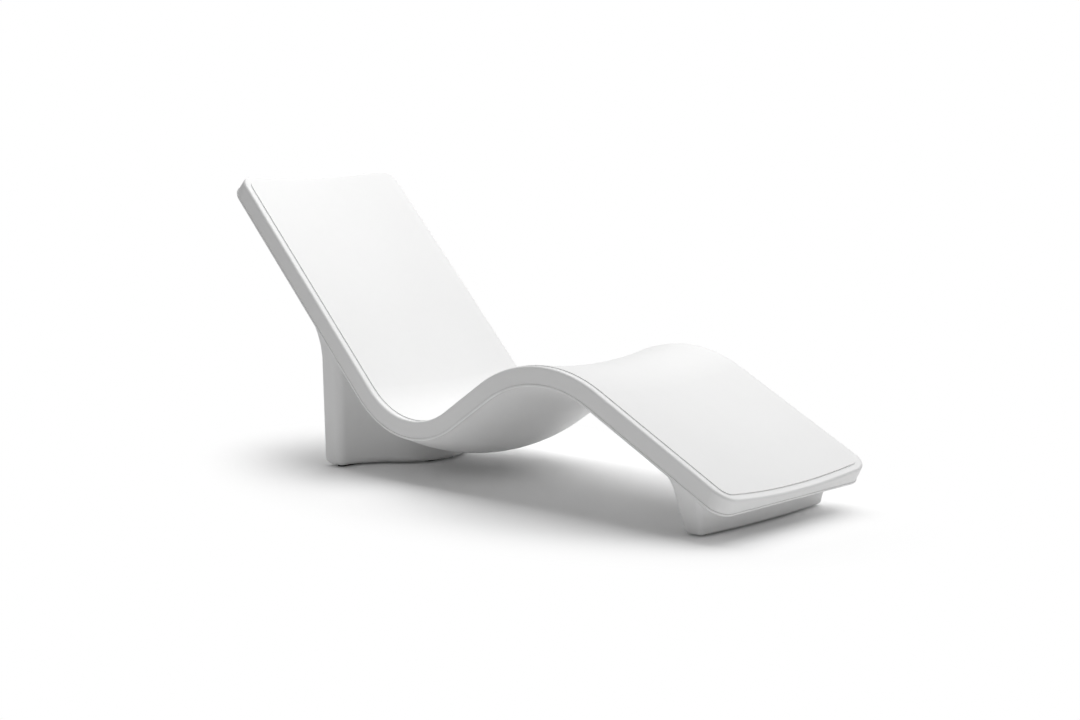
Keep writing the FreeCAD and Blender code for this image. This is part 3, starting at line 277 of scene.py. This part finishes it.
class LOUNGER_OT_stage(bpy.types.Operator):
    """Sets the pale floor, the soft light and the camera"""
    bl_idname = "lounger.stage"
    bl_label = "Set Stage"

    def execute(self, context):
        scene = context.scene
        stage = scene.lounger_stage
        scene.view_settings.view_transform = "Standard"
        self.floor(stage)
        self.sky(scene, stage)
        self.lamp(scene, stage)
        self.camera(scene, stage)
        return {"FINISHED"}

    def floor(self, stage):
        """White floor that takes shade near the lounger and fades to plain white in an oval round it."""
        bpy.ops.mesh.primitive_plane_add(size=stage.floor_size)
        floor = bpy.context.object
        floor.name = "floor"
        finish = Finish("studio_floor")
        place = finish.make("ShaderNodeTexCoord", output=OBJECT_PLACE)
        offset = finish.make("ShaderNodeVectorMath", {"operation": "SUBTRACT"},
                             {0: place, 1: tuple(stage.floor_centre)})
        oval = finish.make("ShaderNodeVectorMath", {"operation": "MULTIPLY"},
                           {0: offset, 1: tuple(stage.floor_oval)})
        reach = finish.make("ShaderNodeVectorMath", {"operation": "LENGTH"}, {0: oval}, LENGTH_VALUE)
        camera_ray = finish.make("ShaderNodeLightPath")
        glossy_ray = finish.make("ShaderNodeLightPath", output=GLOSSY_RAY)
        seen = finish.make("ShaderNodeMath", {"operation": "MAXIMUM"}, {0: camera_ray, 1: glossy_ray})
        start, end = stage.floor_fade
        far = finish.make("ShaderNodeMapRange", {"interpolation_type": "SMOOTHSTEP"},
                          {"Value": reach, "From Min": start, "From Max": end})
        paint = finish.make("ShaderNodeBsdfDiffuse", None, {"Color": (*stage.floor_colour, 1.0)})
        white = finish.make("ShaderNodeEmission", None, {"Color": WHITE, "Strength": 1.0})
        lift = stage.floor_lift + far * (1.0 - stage.floor_lift)
        surface = finish.make("ShaderNodeMixShader", None, {0: lift * seen, 1: paint, 2: white})
        finish.make("ShaderNodeOutputMaterial", None, {"Surface": surface})
        floor.data.materials.append(finish.owner)

    def sky(self, scene, stage):
        """Dim even light that the camera sees as white."""
        world = scene.world or bpy.data.worlds.new("studio")
        scene.world = world
        finish = Finish("studio", world)
        camera_ray = finish.make("ShaderNodeLightPath")
        strength = stage.sky_strength + camera_ray * (1.0 - stage.sky_strength)
        light = finish.make("ShaderNodeBackground", None, {"Color": WHITE, "Strength": strength})
        finish.make("ShaderNodeOutputWorld", None, {"Surface": light})

    def lamp(self, scene, stage):
        """Large soft lamp, above and behind the lounger."""
        light = bpy.data.lights.new("key", "AREA")
        light.shape = "RECTANGLE"
        light.size, light.size_y = stage.key_size
        light.energy = stage.key_power
        key = bpy.data.objects.new("key", light)
        key.location = stage.key_place
        aim = Vector(stage.key_aim) - key.location
        key.rotation_euler = aim.to_track_quat("-Z", "Y").to_euler()
        scene.collection.objects.link(key)

    def camera(self, scene, stage):
        """Camera of the photo."""
        camera = bpy.data.objects.new("camera", bpy.data.cameras.new("camera"))
        camera.data.lens = stage.camera_lens
        camera.data.sensor_width = SENSOR_WIDTH
        camera.data.sensor_fit = "HORIZONTAL"
        camera.data.clip_end = CAMERA_REACH
        camera.location = stage.camera_place
        camera.rotation_euler = (math.pi / 2 - stage.camera_pitch, 0.0, stage.camera_yaw)
        scene.collection.objects.link(camera)
        scene.camera = camera


class LOUNGER_PT_panel(bpy.types.Panel):
    """Lists the lounger's colours, the stage's settings and the steps"""
    bl_idname = "LOUNGER_PT_panel"
    bl_label = "Lounger"
    bl_space_type = "VIEW_3D"
    bl_region_type = "UI"
    bl_category = "Lounger"

    def draw(self, context):
        for group in (context.scene.lounger_finish, context.scene.lounger_stage):
            for name in group.__annotations__:
                self.layout.prop(group, name)
        for step in STEPS:
            self.layout.operator(step.bl_idname)


STEPS = (LOUNGER_OT_shells, LOUNGER_OT_ports, LOUNGER_OT_pads, LOUNGER_OT_formers, LOUNGER_OT_stage)
CLASSES = (LoungerFinish, LoungerStage) + STEPS + (LOUNGER_PT_panel,)


def register():
    for kind in CLASSES:
        bpy.utils.register_class(kind)
    bpy.types.Scene.lounger_finish = bpy.props.PointerProperty(type=LoungerFinish)
    bpy.types.Scene.lounger_stage = bpy.props.PointerProperty(type=LoungerStage)


def unregister():
    del bpy.types.Scene.lounger_stage
    del bpy.types.Scene.lounger_finish
    for kind in reversed(CLASSES):
        bpy.utils.unregister_class(kind)


def main():
    register()
    bpy.ops.lounger.shells()
    bpy.ops.lounger.ports()
    bpy.ops.lounger.pads()
    bpy.ops.lounger.formers()
    bpy.ops.lounger.stage()


if __name__ == "__main__":
    main()
